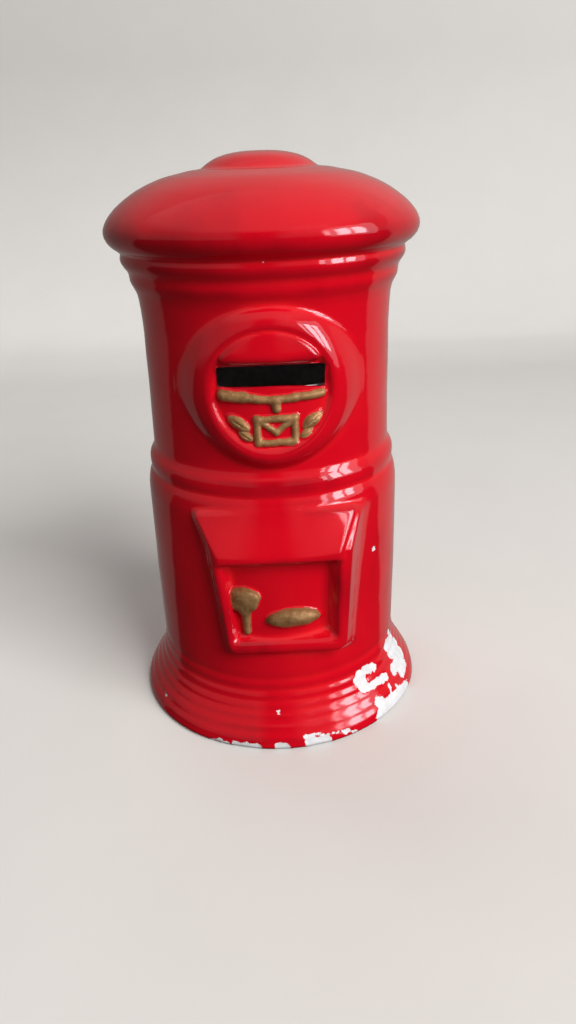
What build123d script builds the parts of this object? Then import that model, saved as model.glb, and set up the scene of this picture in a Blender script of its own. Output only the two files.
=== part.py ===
"""Ceramic money box shaped like a pillar post box.

One hollow glazed casting, gilded relief pieces on its front, and a soft stopper in its base.
Millimetres, +Z up, origin at the centre of the foot ring's resting plane, front towards -Y.
"""
from build123d import *
from math import sqrt
import os

os.makedirs("parts", exist_ok=True)

# --- driving dimensions -------------------------------------------------------------------
HEIGHT = 220.0            # resting plane to the top of the button
FOOT_RADIUS = 61.2        # widest ring of the plinth
LOWER_DRUM_RADIUS = 51.3  # drum below the belt
UPPER_DRUM_RADIUS = 47.6  # drum above the belt
CAP_RADIUS = 58.4         # widest ring of the domed cap
WALL = 5.0                # usual thickness of the cast wall

# --- plinth: a flared foot with a stack of small ribs ----------------------------------------
FOOT_EDGE_HEIGHT = 3.0    # upright edge at the bottom
PLINTH_TOP = 26.0         # the ribs end here, on the drum
RIB_COUNT = 6
RIB_BULGE = 0.55          # how far each rib stands out of the flare
PLINTH_FLARE = 1.45       # power of the flare's curve

# --- belt between the drums --------------------------------------------------------------------
BELT_BOTTOM = 95.0
BELT_GROOVE_Z = 104.2
BELT_GROOVE_RADIUS = 49.3
BELT_TOP = 113.0

# --- neck and cap ------------------------------------------------------------------------------
NECK_BOTTOM = 164.0
LOWER_NECK_RING_Z = 177.5
UPPER_NECK_RING_Z = 184.5
CAP_UNDERSIDE_Z = 187.6
CAP_EQUATOR_Z = 194.6
BUTTON_RADIUS = 21.4
BUTTON_BASE_Z = 214.7
BUTTON_FLAT_RADIUS = 8.0

# --- roundel: the round boss that carries the coin slot -----------------------------------------
ROUNDEL_X = 0.6           # the roundel, the slot and the door are a little off line, as the mould left them
ROUNDEL_Z = 143.8
ROUNDEL_RADIUS = 25.4     # outer edge of its front ring
ROUNDEL_SKIRT = 37.0      # radius of its sloping side, deep in the drum
ROUNDEL_FACE = 52.3       # its front face is a cylinder of this radius about the drum's axis
PANEL_RADIUS = 20.9       # sunk round panel inside the ring
PANEL_FLOOR = 49.7        # cylinder radius of the panel's floor
HOOD_RADIUS = 20.4        # half-round hood over the slot
HOOD_FACE = 52.9
HOOD_LIP_Z = 154.4
SLOT_WIDTH = 37.6
SLOT_HEIGHT = 7.0
SLOT_X = 1.0
SLOT_Z = 149.6

# --- door with its sloping awning ------------------------------------------------------------------
AWNING_TOP_Z = 99.5
AWNING_TOP_HALF_WIDTH = 31.2
AWNING_LIP_Z = 83.5       # the slope ends here, on an upright lip
AWNING_LIP_X = 0.9
AWNING_LIP_HALF_WIDTH = 23.3
AWNING_LIP_Y = -57.2
AWNING_LIP_HEIGHT = 2.0
AWNING_FOOT_Z = 79.4      # its underside meets the door here
AWNING_BACK_Y = -30.0     # inside the drum
AWNING_CHEEK_SLOPE = 0.42  # how fast the cheeks widen towards the drum
DOOR_X = 2.2
DOOR_TOP_Z = 81.0
DOOR_BOTTOM_Z = 41.2
DOOR_FACE_Y = -54.2       # flat front of the door frame
DOOR_TOP_HALF_WIDTH = 25.2      # the frame narrows downwards
DOOR_BOTTOM_HALF_WIDTH = 22.3
DOOR_DRAFT = 22.0         # slope of the frame's sides, degrees
DOOR_DEPTH = 20.0         # the frame's block ends this far back, inside the drum
FIELD_TOP_HALF_WIDTH = 21.8     # sunk field inside the frame
FIELD_BOTTOM_HALF_WIDTH = 19.8
FIELD_BOTTOM_Z = 45.2

# --- gilded relief -----------------------------------------------------------------------------------
GILT_HEIGHT = 1.9         # how far the thin relief stands off its ground
ROPE = 2.3                # width of the rope-like strokes
BOSS_HEIGHT = 3.6         # how far the key plate and the handle stand off the door field
ENVELOPE_CENTRE = (2.0, 130.2)
ENVELOPE_WIDTH = 15.6
ENVELOPE_HEIGHT = 11.0
LEAVES = (                # distance from the envelope's centre, height, length, slope in degrees
    (12.9, 132.9, 8.0, 34.0),
    (10.6, 128.6, 5.2, 34.0),
)
LEAF_FULLNESS = 0.25      # half width over length
HANDLE_CENTRE = (5.4, 56.2)
HANDLE_LENGTH = 21.2
HANDLE_WIDTH = 7.8
HANDLE_TILT = -2.0        # degrees, right end down

# --- base and stopper ----------------------------------------------------------------------------------
FOOT_RECESS_RADIUS = 53.0
FOOT_RECESS_DEPTH = 3.2
BASE_THICKNESS = 5.0
STOPPER_HOLE_RADIUS = 19.0
STOPPER_CLEARANCE = 0.08  # radial gap between the skirt and the hole
FLANGE_RADIUS = 23.5
FLANGE_THICKNESS = 1.8
SKIRT_HEIGHT = 11.0
SKIRT_WALL = 2.2
CROSS_RIB_THICKNESS = 1.6
TAB_RADIUS = 6.0          # finger tab on the flange's edge
GROOVE_RADIUS = 14.0      # moulded ring on the flange's underside
GROOVE_WIDTH = 1.2
GROOVE_DEPTH = 0.6

BASE_TOP = FOOT_RECESS_DEPTH + BASE_THICKNESS
FRONT = Plane.XZ          # sketches for the front relief: x to the right, y up, normal to the front
OUTSIDE = 70.0            # beyond every surface of the object


def flare_radius(z):
    """Radius of the plinth's flare at height z, without its ribs."""
    reach = (PLINTH_TOP - z) / (PLINTH_TOP - FOOT_EDGE_HEIGHT)
    return LOWER_DRUM_RADIUS - 0.4 + (FOOT_RADIUS - LOWER_DRUM_RADIUS - 0.4) * reach**PLINTH_FLARE


def front_y(radius, x):
    """Y of the front of a cylinder of this radius about the drum's axis, at x."""
    return -sqrt(radius**2 - x**2)


# --- ceramic body: outside ---------------------------------------------------------------------------
rib_edges = [FOOT_EDGE_HEIGHT + (PLINTH_TOP - FOOT_EDGE_HEIGHT) * i / RIB_COUNT for i in range(RIB_COUNT + 1)]

with BuildPart() as outside:
    with BuildSketch(Plane.XZ):
        with BuildLine():
            Polyline((0, 0), (FOOT_RADIUS - 0.8, 0), (FOOT_RADIUS, 0.8), (FOOT_RADIUS, 2.0),
                     (flare_radius(FOOT_EDGE_HEIGHT), FOOT_EDGE_HEIGHT))
            for low, high in zip(rib_edges, rib_edges[1:]):
                middle = (low + high) / 2
                ThreePointArc((flare_radius(low), low), (flare_radius(middle) + RIB_BULGE, middle),
                              (flare_radius(high), high))
            Line((flare_radius(PLINTH_TOP), PLINTH_TOP), (LOWER_DRUM_RADIUS, PLINTH_TOP + 3))
            Line((LOWER_DRUM_RADIUS, PLINTH_TOP + 3), (LOWER_DRUM_RADIUS, BELT_BOTTOM))
            ThreePointArc((LOWER_DRUM_RADIUS, BELT_BOTTOM), (LOWER_DRUM_RADIUS - 0.4, 100.0),
                          (BELT_GROOVE_RADIUS, BELT_GROOVE_Z))
            ThreePointArc((BELT_GROOVE_RADIUS, BELT_GROOVE_Z), (BELT_GROOVE_RADIUS + 0.5, 108.4),
                          (UPPER_DRUM_RADIUS, BELT_TOP))
            Line((UPPER_DRUM_RADIUS, BELT_TOP), (UPPER_DRUM_RADIUS, NECK_BOTTOM))
            ThreePointArc((UPPER_DRUM_RADIUS, NECK_BOTTOM), (48.2, 170.6), (50.2, 176.2))
            ThreePointArc((50.2, 176.2), (50.9, LOWER_NECK_RING_Z), (50.7, 179.2))
            ThreePointArc((50.7, 179.2), (51.6, 181.2), (52.9, 182.8))
            ThreePointArc((52.9, 182.8), (53.5, UPPER_NECK_RING_Z), (53.0, CAP_UNDERSIDE_Z))
            ThreePointArc((53.0, CAP_UNDERSIDE_Z), (56.9, 190.4), (CAP_RADIUS, CAP_EQUATOR_Z))
            Spline((CAP_RADIUS, CAP_EQUATOR_Z), (54.0, 202.0), (41.0, 210.0), (BUTTON_RADIUS, BUTTON_BASE_Z),
                   tangents=((0, 1), (-1, 0.12)))
            Spline((BUTTON_RADIUS, BUTTON_BASE_Z), (15.7, 218.2), (BUTTON_FLAT_RADIUS, HEIGHT),
                   tangents=((-1, 0.4), (-1, 0)))
            Polyline((BUTTON_FLAT_RADIUS, HEIGHT), (0, HEIGHT), (0, 0))
        make_face()
    revolve(axis=Axis.Z)

# --- roundel: sloping boss, cut back to a front face that is round about the drum's axis --------------
shoulder_y = front_y(ROUNDEL_FACE, ROUNDEL_RADIUS)
with BuildPart() as roundel:
    for near_y, near_radius, far_y, far_radius in (
        (shoulder_y, ROUNDEL_RADIUS + 0.6, -30.0, ROUNDEL_SKIRT),
        (-ROUNDEL_FACE - 2, ROUNDEL_RADIUS - 1.2, shoulder_y, ROUNDEL_RADIUS + 0.6),
    ):
        with BuildSketch(FRONT.offset(-near_y)):
            with Locations((ROUNDEL_X, ROUNDEL_Z)):
                Circle(near_radius)
        with BuildSketch(FRONT.offset(-far_y)):
            with Locations((ROUNDEL_X, ROUNDEL_Z)):
                Circle(far_radius)
        loft()
    with Locations((0, 0, ROUNDEL_Z)):
        Cylinder(ROUNDEL_FACE, 3 * ROUNDEL_SKIRT, mode=Mode.INTERSECT)

# --- sunk panel inside the ring ---------------------------------------------------------------------------
with BuildPart() as panel_pocket:
    with BuildSketch(FRONT.offset(OUTSIDE)):
        with Locations((ROUNDEL_X, ROUNDEL_Z)):
            Circle(PANEL_RADIUS)
    extrude(amount=-OUTSIDE)
    Cylinder(PANEL_FLOOR, 3 * HEIGHT, mode=Mode.SUBTRACT)

# --- hood: half-round cushion over the slot ------------------------------------------------------------------
with BuildPart() as hood:
    with BuildSketch(FRONT.offset(OUTSIDE)):
        with Locations((ROUNDEL_X, ROUNDEL_Z)):
            Circle(HOOD_RADIUS)
        with Locations((ROUNDEL_X, HOOD_LIP_Z)):
            Rectangle(3 * HOOD_RADIUS, HOOD_RADIUS, align=(Align.CENTER, Align.MIN), mode=Mode.INTERSECT)
    extrude(amount=-OUTSIDE)
    Cylinder(HOOD_FACE, 3 * HEIGHT, mode=Mode.INTERSECT)
    Cylinder(PANEL_FLOOR - 1, 3 * HEIGHT, mode=Mode.SUBTRACT)
    fillet(hood.edges().filter_by(lambda e: e.center().Z > HOOD_LIP_Z - 0.1).group_by(Axis.Y)[0], 0.9)

# --- awning: a sloping plate that narrows downwards, with side cheeks back to the drum ----------------------
def awning_section(height, centre, half_width, corner_y, middle_y):
    """Make the awning's outline at one height: a bowed front edge, and sides that flare back into the drum."""
    back_half_width = half_width + AWNING_CHEEK_SLOPE * (AWNING_BACK_Y - corner_y)
    with BuildSketch(Plane.XY.offset(height)) as section:
        with BuildLine():
            ThreePointArc((centre - half_width, corner_y), (centre, middle_y), (centre + half_width, corner_y))
            Polyline((centre + half_width, corner_y), (centre + back_half_width, AWNING_BACK_Y),
                     (centre - back_half_width, AWNING_BACK_Y), (centre - half_width, corner_y))
        make_face()
    return section.sketch


awning_top = awning_section(AWNING_TOP_Z, 0, AWNING_TOP_HALF_WIDTH, -40.9, -LOWER_DRUM_RADIUS - 0.2)
lip_bottom_z = AWNING_LIP_Z - AWNING_LIP_HEIGHT
awning_lip, lip_bottom = (
    awning_section(z, AWNING_LIP_X, AWNING_LIP_HALF_WIDTH, AWNING_LIP_Y + 2.6, AWNING_LIP_Y)
    for z in (AWNING_LIP_Z, lip_bottom_z)
)
awning_foot = awning_section(AWNING_FOOT_Z, AWNING_LIP_X, AWNING_LIP_HALF_WIDTH - 0.8, -50.2, -51.6)
with BuildPart() as awning:
    for upper, lower in ((awning_top, awning_lip), (awning_lip, lip_bottom), (lip_bottom, awning_foot)):
        loft([upper, lower], ruled=True)

# --- door: a flat frame with a field sunk back to the drum ----------------------------------------------------------
def narrowing_panel(plane, bottom_half_width, bottom_z, top_half_width, top_z, corner_radius):
    """Draw a panel on the door's middle line that is wider at its top than at its bottom."""
    with BuildSketch(plane) as panel:
        with BuildLine():
            Polyline((DOOR_X - bottom_half_width, bottom_z), (DOOR_X + bottom_half_width, bottom_z),
                     (DOOR_X + top_half_width, top_z), (DOOR_X - top_half_width, top_z), close=True)
        make_face()
        fillet(panel.vertices(), corner_radius)
    return panel.sketch


door_outline = narrowing_panel(FRONT.offset(-DOOR_FACE_Y), DOOR_BOTTOM_HALF_WIDTH, DOOR_BOTTOM_Z,
                               DOOR_TOP_HALF_WIDTH, DOOR_TOP_Z, 3.0)
with BuildPart() as door:
    extrude(door_outline, amount=-DOOR_DEPTH, taper=-DOOR_DRAFT)

field_outline = narrowing_panel(FRONT.offset(OUTSIDE), FIELD_BOTTOM_HALF_WIDTH, FIELD_BOTTOM_Z,
                                FIELD_TOP_HALF_WIDTH, AWNING_FOOT_Z, 2.0)
with BuildPart() as door_field:
    extrude(field_outline, amount=-OUTSIDE)
    Cylinder(LOWER_DRUM_RADIUS, 3 * HEIGHT, mode=Mode.SUBTRACT)

# --- ceramic body: hollow, slot, foot recess and stopper hole ----------------------------------------------------------
with BuildPart() as chamber:
    with BuildSketch(Plane.XZ):
        with BuildLine():
            Polyline((0, BASE_TOP), (50.5, BASE_TOP), (51.0, BASE_TOP + 1.5))
            Spline((51.0, BASE_TOP + 1.5), (47.2, 17.0), (LOWER_DRUM_RADIUS - WALL, 28.0),
                   tangents=((-0.3, 1), (0, 1)))
            Polyline((LOWER_DRUM_RADIUS - WALL, 28.0), (LOWER_DRUM_RADIUS - WALL, 96.0),
                     (UPPER_DRUM_RADIUS - WALL, 110.0), (UPPER_DRUM_RADIUS - WALL, 166.0),
                     (45.6, 180.5), (47.4, 187.4), (52.3, 193.0))
            Spline((52.3, 193.0), (46.0, 202.2), (30.0, 208.0), (0, 209.6), tangents=((0.3, 1), (-1, 0)))
            Line((0, 209.6), (0, BASE_TOP))
        make_face()
    revolve(axis=Axis.Z)

with BuildPart() as ceramic_body:
    add(outside.part)
    add(roundel.part)
    add(panel_pocket.part, mode=Mode.SUBTRACT)
    add(hood.part)
    add(awning.part)
    add(door.part)
    add(door_field.part, mode=Mode.SUBTRACT)
    add(chamber.part, mode=Mode.SUBTRACT)
    with Locations((SLOT_X, -OUTSIDE, SLOT_Z)):
        Box(SLOT_WIDTH, OUTSIDE, SLOT_HEIGHT, align=(Align.CENTER, Align.MIN, Align.CENTER), mode=Mode.SUBTRACT)
    Cylinder(FOOT_RECESS_RADIUS, FOOT_RECESS_DEPTH, align=(Align.CENTER, Align.CENTER, Align.MIN),
             mode=Mode.SUBTRACT)
    Cylinder(STOPPER_HOLE_RADIUS, 3 * BASE_THICKNESS, align=(Align.CENTER, Align.CENTER, Align.MIN),
             mode=Mode.SUBTRACT)
ceramic_body.part.label = "ceramic_body"
export_step(ceramic_body.part, "parts/ceramic_body.step")

# --- gilded relief: each piece is a flat outline, cut to stand between two cylinders about the drum's axis ------------
def stand_on(ground, height):
    """Turn the sketch drawn far in front into a piece on the ground cylinder, of this height."""
    extrude(amount=-OUTSIDE)
    Cylinder(ground + height, 3 * HEIGHT, mode=Mode.INTERSECT)
    Cylinder(ground, 3 * HEIGHT, mode=Mode.SUBTRACT)


with BuildPart() as slot_bar:
    with BuildSketch(FRONT.offset(OUTSIDE)) as bar_outline:
        with BuildLine():
            Line((-17.9, 144.7), (-17.9, 141.0))
            Spline((-17.9, 141.0), (-8.0, 140.5), (0.4, 140.1))
            Polyline((0.4, 140.1), (0.8, 136.7), (3.8, 136.7), (3.9, 140.1))
            Spline((3.9, 140.1), (11.0, 140.4), (19.5, 140.9))
            Line((19.5, 140.9), (19.5, 143.6))
            Spline((19.5, 143.6), (1.0, 142.5), (-17.9, 144.7))
        make_face()
        fillet(bar_outline.vertices(), 0.7)
    stand_on(PANEL_FLOOR, GILT_HEIGHT)
slot_bar.part.label = "slot_bar"
export_step(slot_bar.part, "parts/slot_bar.step")

flap_top = ENVELOPE_HEIGHT / 2 - ROPE / 2
flap_reach = ENVELOPE_WIDTH / 2 - ROPE / 2
with BuildPart() as envelope_relief:
    with BuildSketch(FRONT.offset(OUTSIDE)):
        with Locations(ENVELOPE_CENTRE):
            RectangleRounded(ENVELOPE_WIDTH, ENVELOPE_HEIGHT, 1.8)
            RectangleRounded(ENVELOPE_WIDTH - 2 * ROPE, ENVELOPE_HEIGHT - 2 * ROPE, 0.5, mode=Mode.SUBTRACT)
            for side in (1, -1):
                SlotArc(Edge.make_line((0, -0.6), (side * flap_reach, flap_top)), 0.8 * ROPE)
    stand_on(PANEL_FLOOR, GILT_HEIGHT)
envelope_relief.part.label = "envelope_relief"
export_step(envelope_relief.part, "parts/envelope_relief.step")

with BuildPart() as leaf_sprigs:
    with BuildSketch(FRONT.offset(OUTSIDE)):
        for side in (1, -1):
            for x, z, length, slope in LEAVES:
                with BuildSketch(mode=Mode.PRIVATE) as leaf:
                    with BuildLine():
                        ThreePointArc((-length / 2, 0), (0, LEAF_FULLNESS * length), (length / 2, 0))
                        ThreePointArc((length / 2, 0), (0, -LEAF_FULLNESS * length), (-length / 2, 0))
                    make_face()
                with Locations(Location((ENVELOPE_CENTRE[0] + side * x, z, 0), side * slope)):
                    add(leaf.sketch)
    stand_on(PANEL_FLOOR, GILT_HEIGHT)
leaf_sprigs.part.label = "leaf_sprigs"
export_step(leaf_sprigs.part, "parts/leaf_sprigs.step")

with BuildPart() as key_plate:
    with BuildSketch(FRONT.offset(OUTSIDE)):
        with BuildLine():
            Spline((-14.3, 58.4), (-17.2, 60.0), (-18.6, 63.4), (-17.6, 67.6), (-13.1, 68.6), (-8.8, 67.6),
                   (-7.6, 63.4), (-8.8, 60.2), (-11.1, 58.2))
            Polyline((-11.1, 58.2), (-10.9, 48.4), (-14.1, 48.4), (-14.3, 58.4))
        make_face()
    stand_on(LOWER_DRUM_RADIUS, BOSS_HEIGHT)
key_plate.part.label = "key_plate"
export_step(key_plate.part, "parts/key_plate.step")

with BuildPart() as door_handle:
    with BuildSketch(FRONT.offset(OUTSIDE)):
        with Locations(HANDLE_CENTRE):
            Ellipse(HANDLE_LENGTH / 2, HANDLE_WIDTH / 2, rotation=HANDLE_TILT)
    stand_on(LOWER_DRUM_RADIUS, BOSS_HEIGHT)
door_handle.part.label = "door_handle"
export_step(door_handle.part, "parts/door_handle.step")

# --- stopper: a soft moulded plug with a flange, a hollow skirt, cross ribs and a finger tab -----------------------------
flange_bottom = FOOT_RECESS_DEPTH - FLANGE_THICKNESS
skirt_radius = STOPPER_HOLE_RADIUS - STOPPER_CLEARANCE
with BuildPart() as stopper:
    with BuildSketch(Plane.XY.offset(flange_bottom)):
        Circle(FLANGE_RADIUS)
        with Locations((0, -FLANGE_RADIUS)):
            Circle(TAB_RADIUS)
    extrude(amount=FLANGE_THICKNESS)
    fillet(stopper.edges().group_by(Axis.Z)[0], 0.5)
    with BuildSketch(Plane.XY.offset(FOOT_RECESS_DEPTH)):
        Circle(skirt_radius)
    extrude(amount=SKIRT_HEIGHT)
    chamfer(stopper.edges().group_by(Axis.Z)[-1], 1.2)
    with BuildSketch(Plane.XY.offset(FOOT_RECESS_DEPTH + SKIRT_HEIGHT)):
        Circle(skirt_radius - SKIRT_WALL)
    extrude(amount=-SKIRT_HEIGHT, mode=Mode.SUBTRACT)
    with BuildSketch(Plane.XY.offset(FOOT_RECESS_DEPTH)):
        with PolarLocations(0, 2, angular_range=180):
            Rectangle(2 * skirt_radius - SKIRT_WALL, CROSS_RIB_THICKNESS)
    extrude(amount=SKIRT_HEIGHT - 3)
    with BuildSketch(Plane.XY.offset(flange_bottom)):
        Circle(GROOVE_RADIUS)
        Circle(GROOVE_RADIUS - GROOVE_WIDTH, mode=Mode.SUBTRACT)
    extrude(amount=GROOVE_DEPTH, mode=Mode.SUBTRACT)
stopper.part.label = "stopper"
export_step(stopper.part, "parts/stopper.step")
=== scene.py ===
"""Looks of a glazed ceramic money box in the form of a pillar post box.

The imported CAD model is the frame. Shapes are worked out in millimetres and written to the meshes in metres.
Theta is the angle round the drum's axis from the front (-Y), positive towards +X.
"""
from math import atan2, cos, pi, radians, sin, sqrt
from types import SimpleNamespace

import bmesh
import bpy
import numpy as np
from mathutils import Matrix, Vector


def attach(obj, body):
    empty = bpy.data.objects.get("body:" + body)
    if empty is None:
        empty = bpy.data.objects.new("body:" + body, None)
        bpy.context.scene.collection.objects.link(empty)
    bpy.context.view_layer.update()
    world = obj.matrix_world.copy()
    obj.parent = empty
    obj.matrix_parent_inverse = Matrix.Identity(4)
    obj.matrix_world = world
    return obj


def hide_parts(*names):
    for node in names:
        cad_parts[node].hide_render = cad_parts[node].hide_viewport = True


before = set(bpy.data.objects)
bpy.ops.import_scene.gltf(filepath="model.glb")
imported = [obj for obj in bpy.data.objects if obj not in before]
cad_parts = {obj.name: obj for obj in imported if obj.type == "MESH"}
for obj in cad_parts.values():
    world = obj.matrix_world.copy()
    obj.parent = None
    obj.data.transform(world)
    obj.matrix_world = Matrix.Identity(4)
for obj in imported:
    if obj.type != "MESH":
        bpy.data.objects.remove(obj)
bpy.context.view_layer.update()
MM = 0.001

# --- sizes shared with the CAD model, in millimetres ------------------------------------------
HEIGHT = 220.0
ROUNDEL_X, ROUNDEL_Z, ROUNDEL_RADIUS, ROUNDEL_FACE = 0.6, 143.8, 25.4, 52.3
PANEL_RADIUS, PANEL_FLOOR = 20.9, 49.7
SLOT_X, SLOT_Z, SLOT_HALF_WIDTH, SLOT_HALF_HEIGHT = 1.0, 149.6, 18.8, 3.5
DOOR_FACE, FIELD_GROUND = 54.2, 51.3
LOWER_DRUM, INNER_NECK = 51.2, 42.6
# --- sizes of the looks alone -------------------------------------------------------------------
SLOT_GROUND = 49.9        # radius of the surface round the slot
SLOT_CORNER = 1.1         # rounding of the slot's corners
SLOT_COLUMNS = 31         # columns of the mesh in half of the slot's width
GLAZE_THICKNESS = 0.25


# ================================ outline of the casting =======================================
RIB_EDGES = (2.4, 6.2, 10.2, 13.8, 17.3, 21.6, 26.6)      # grooves of the plinth, from the foot up
RIB_BULGE = 0.65
# height and radius where the outline changes, from the foot to the cap's underside
OUTLINE = (
    (-2.0, 61.2), (2.0, 61.2), (2.6, 60.6), (6.0, 59.0), (10.0, 56.5), (14.0, 54.1), (18.0, 52.3),
    (22.0, 51.1), (26.0, 50.7), (29.0, 51.2), (60.0, 51.45), (90.0, 51.35), (97.0, 51.3), (100.0, 50.9),
    (102.6, 50.3), (103.6, 49.5), (104.6, 49.3), (106.0, 49.8), (108.4, 49.9), (110.4, 49.5), (112.0, 48.4),
    (113.6, 47.7), (130.0, 47.5), (160.0, 47.5), (166.0, 47.8), (171.0, 48.2), (174.0, 49.0), (176.0, 50.2),
    (177.6, 50.8), (179.2, 50.7), (181.0, 51.1), (182.6, 52.6), (184.4, 53.5), (186.2, 53.3), (188.0, 52.8),
    (192.0, 52.8),
)
# radius and height over the cap, from the middle of the button down to the underside
CAP_OUTLINE = (
    (0.0, 220.0), (5.0, 219.9), (9.0, 219.5), (12.6, 218.8), (15.6, 217.85), (18.0, 216.65), (19.9, 215.4),
    (21.0, 214.6), (22.2, 214.3), (24.2, 214.15), (26.4, 213.8), (29.8, 213.1), (35.3, 211.9), (40.9, 209.9),
    (45.2, 207.9), (48.7, 205.8), (51.9, 203.5), (54.4, 201.3), (56.6, 198.8), (58.0, 196.2), (58.4, 194.0),
    (57.7, 191.6), (56.0, 189.5), (54.2, 188.2), (53.2, 187.3),
)
# radius and height under the foot ring
FOOT_OUTLINE = (
    (61.2, 1.4), (60.9, 0.6), (60.2, 0.1), (59.2, 0.0), (57.0, 0.0), (54.6, 0.0), (53.7, 0.2), (53.1, 0.9),
    (53.0, 1.9),
)
# on under the base, through the stopper's hole and over the floor of the chamber
BASE_OUTLINE = FOOT_OUTLINE[-1:] + (
    (52.8, 2.7), (51.9, 3.2), (48.0, 3.2), (40.0, 3.2), (30.0, 3.2), (21.0, 3.2), (19.6, 3.3),
    (19.05, 3.9), (19.0, 5.0), (19.0, 6.6), (19.1, 7.6), (19.7, 8.2), (22.0, 8.2), (30.0, 8.2),
    (40.0, 8.2),
)
# on to the inside walls, up to the slot, and from the slot to the dome
INSIDE_OUTLINE = BASE_OUTLINE[-1:] + (
    (47.5, 8.3), (50.2, 9.0), (50.3, 11.0), (48.6, 14.6), (47.0, 20.0), (46.3, 27.0), (46.3, 45.0),
    (46.3, 70.0), (46.3, 95.0), (44.9, 102.0), (43.0, 108.0), (42.6, 114.0), (42.6, 130.0), (42.6, 143.0),
)
INSIDE_ABOVE_SLOT = (
    (42.6, 157.0), (42.6, 165.0), (44.0, 173.5), (45.6, 180.5), (47.4, 187.2), (50.8, 191.6), (52.2, 194.8),
    (50.6, 198.6), (46.0, 202.4), (38.5, 205.8), (30.0, 207.9), (15.0, 209.3),
)
INSIDE_TOP = 209.6

Z_TABLE = np.arange(-2.0, 192.0, 0.1)


def soften(values, width, step=0.1):
    """Blur a table of radii over a width in millimetres, as a thick glaze does."""
    reach = int(3 * width / step)
    weights = np.exp(-0.5 * (np.arange(-reach, reach + 1) * step / width) ** 2)
    padded = np.pad(values, reach, mode="edge")
    return np.convolve(padded, weights / weights.sum(), mode="valid")


def ribs(z):
    """Bulges of the plinth's ribs at height z, as cast, before the glaze fills between them."""
    bulge = np.zeros_like(z)
    for low, high in zip(RIB_EDGES, RIB_EDGES[1:]):
        t = np.clip((z - low) / (high - low), 0, 1)
        bulge += RIB_BULGE * 4 * t * (1 - t)
    return bulge


R_TABLE = soften(np.interp(Z_TABLE, *zip(*OUTLINE)) + ribs(Z_TABLE), 0.75)


def drum_radius(z):
    """Radius of the plain turned outside at height z."""
    return np.interp(z, Z_TABLE, R_TABLE)


def smooth_path(points, spacing):
    """Points along a Catmull-Rom curve through (radius, height) points, about this far apart."""
    points = np.array(points, float)
    ends = np.vstack([2 * points[0] - points[1], points, 2 * points[-1] - points[-2]])
    dense = []
    for a, b, c, d in zip(ends, ends[1:], ends[2:], ends[3:]):
        t = np.linspace(0, 1, 12, endpoint=False)[:, None]
        dense.append(0.5 * (2 * b + (c - a) * t + (2 * a - 5 * b + 4 * c - d) * t**2
                            + (3 * b - a - 3 * c + d) * t**3))
    dense = np.vstack(dense + [points[-1:]])
    along = np.concatenate([[0], np.cumsum(np.linalg.norm(np.diff(dense, axis=0), axis=1))])
    count = max(2, int(round(along[-1] / spacing)) + 1)
    wanted = np.linspace(0, along[-1], count)
    return np.stack([np.interp(wanted, along, dense[:, i]) for i in (0, 1)], 1)


def hand_waver(theta, z):
    """The slight unevenness of a hand-finished casting, in millimetres."""
    return (0.10 * np.sin(2 * theta + 0.045 * z + 0.6) + 0.07 * np.sin(3 * theta - 0.07 * z + 2.1)
            + 0.05 * np.sin(7 * theta + 0.11 * z) * np.sin(0.09 * z + 1.3)
            + 0.035 * np.sin(13 * theta - 0.16 * z + 0.4) * np.sin(0.19 * z - 0.8))


# ================================ relief on the front ============================================
def smooth_min(a, b, reach):
    """The lesser of two distances, rounded where they meet."""
    h = np.maximum(reach - np.abs(a - b), 0) / reach
    return np.minimum(a, b) - h * h * reach / 4


def smooth_max(a, b, reach):
    return -smooth_min(-a, -b, reach)


def mix(a, b, t):
    return a + (b - a) * t


SKIRT_SLOPE, SKIRT_WIDER_LEFT, SKIRT_WIDER_ABOVE = 0.62, 0.08, 0.34     # spread for each millimetre back
SKIRT_DEPTH = 12.5
HOOD_FACE, HOOD_RADIUS, HOOD_LIP_Z, HOOD_BEND_Z = 52.9, 20.7, 153.7, 156.5


def roundel_field(x, y, z, r):
    """Distance outside the roundel: sloping skirt, rounded ring, sunk panel and the hood over the slot."""
    dx, dz = x - ROUNDEL_X, z - ROUNDEL_Z
    rho = np.sqrt(dx**2 + dz**2) + 1e-6
    edge_y = -np.sqrt(ROUNDEL_FACE**2 - (ROUNDEL_RADIUS * dx / rho) ** 2)
    depth = np.clip(y - edge_y, -6, SKIRT_DEPTH)
    slope = SKIRT_SLOPE + SKIRT_WIDER_LEFT * np.clip(-dx / rho, 0, 1) ** 2 \
        + SKIRT_WIDER_ABOVE * np.clip(dz / rho, 0, 1) ** 2
    skirt = (rho - ROUNDEL_RADIUS - slope * depth) / np.sqrt(1 + slope**2)
    field = smooth_max(skirt, r - ROUNDEL_FACE, 3.0)
    panel = smooth_max(rho - PANEL_RADIUS + 0.45 * (ROUNDEL_FACE - r), PANEL_FLOOR - r, 0.8)
    field = smooth_max(field, -panel, 3.0)
    crown = HOOD_FACE - 0.05 * np.maximum(z - HOOD_BEND_Z, 0) ** 1.35
    hood_rho = np.sqrt(dx**2 + (dz - 0.5) ** 2)
    hood = smooth_max(hood_rho - HOOD_RADIUS, r - crown, 1.6)
    hood = smooth_max(hood, HOOD_LIP_Z - z - 0.25 * (r - 51.5), 3.4)
    return smooth_min(field, hood, 0.25)


AWNING_TOP_Z, AWNING_HEIGHT, AWNING_CREST_Z, AWNING_UNDER_Z = 99.6, 16.0, 100.6, 81.5
AWNING_TOP_HALF_WIDTH, AWNING_LIP_HALF_WIDTH, AWNING_LIP_X, AWNING_LIP_Y = 31.2, 23.3, 1.2, -57.2


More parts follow.
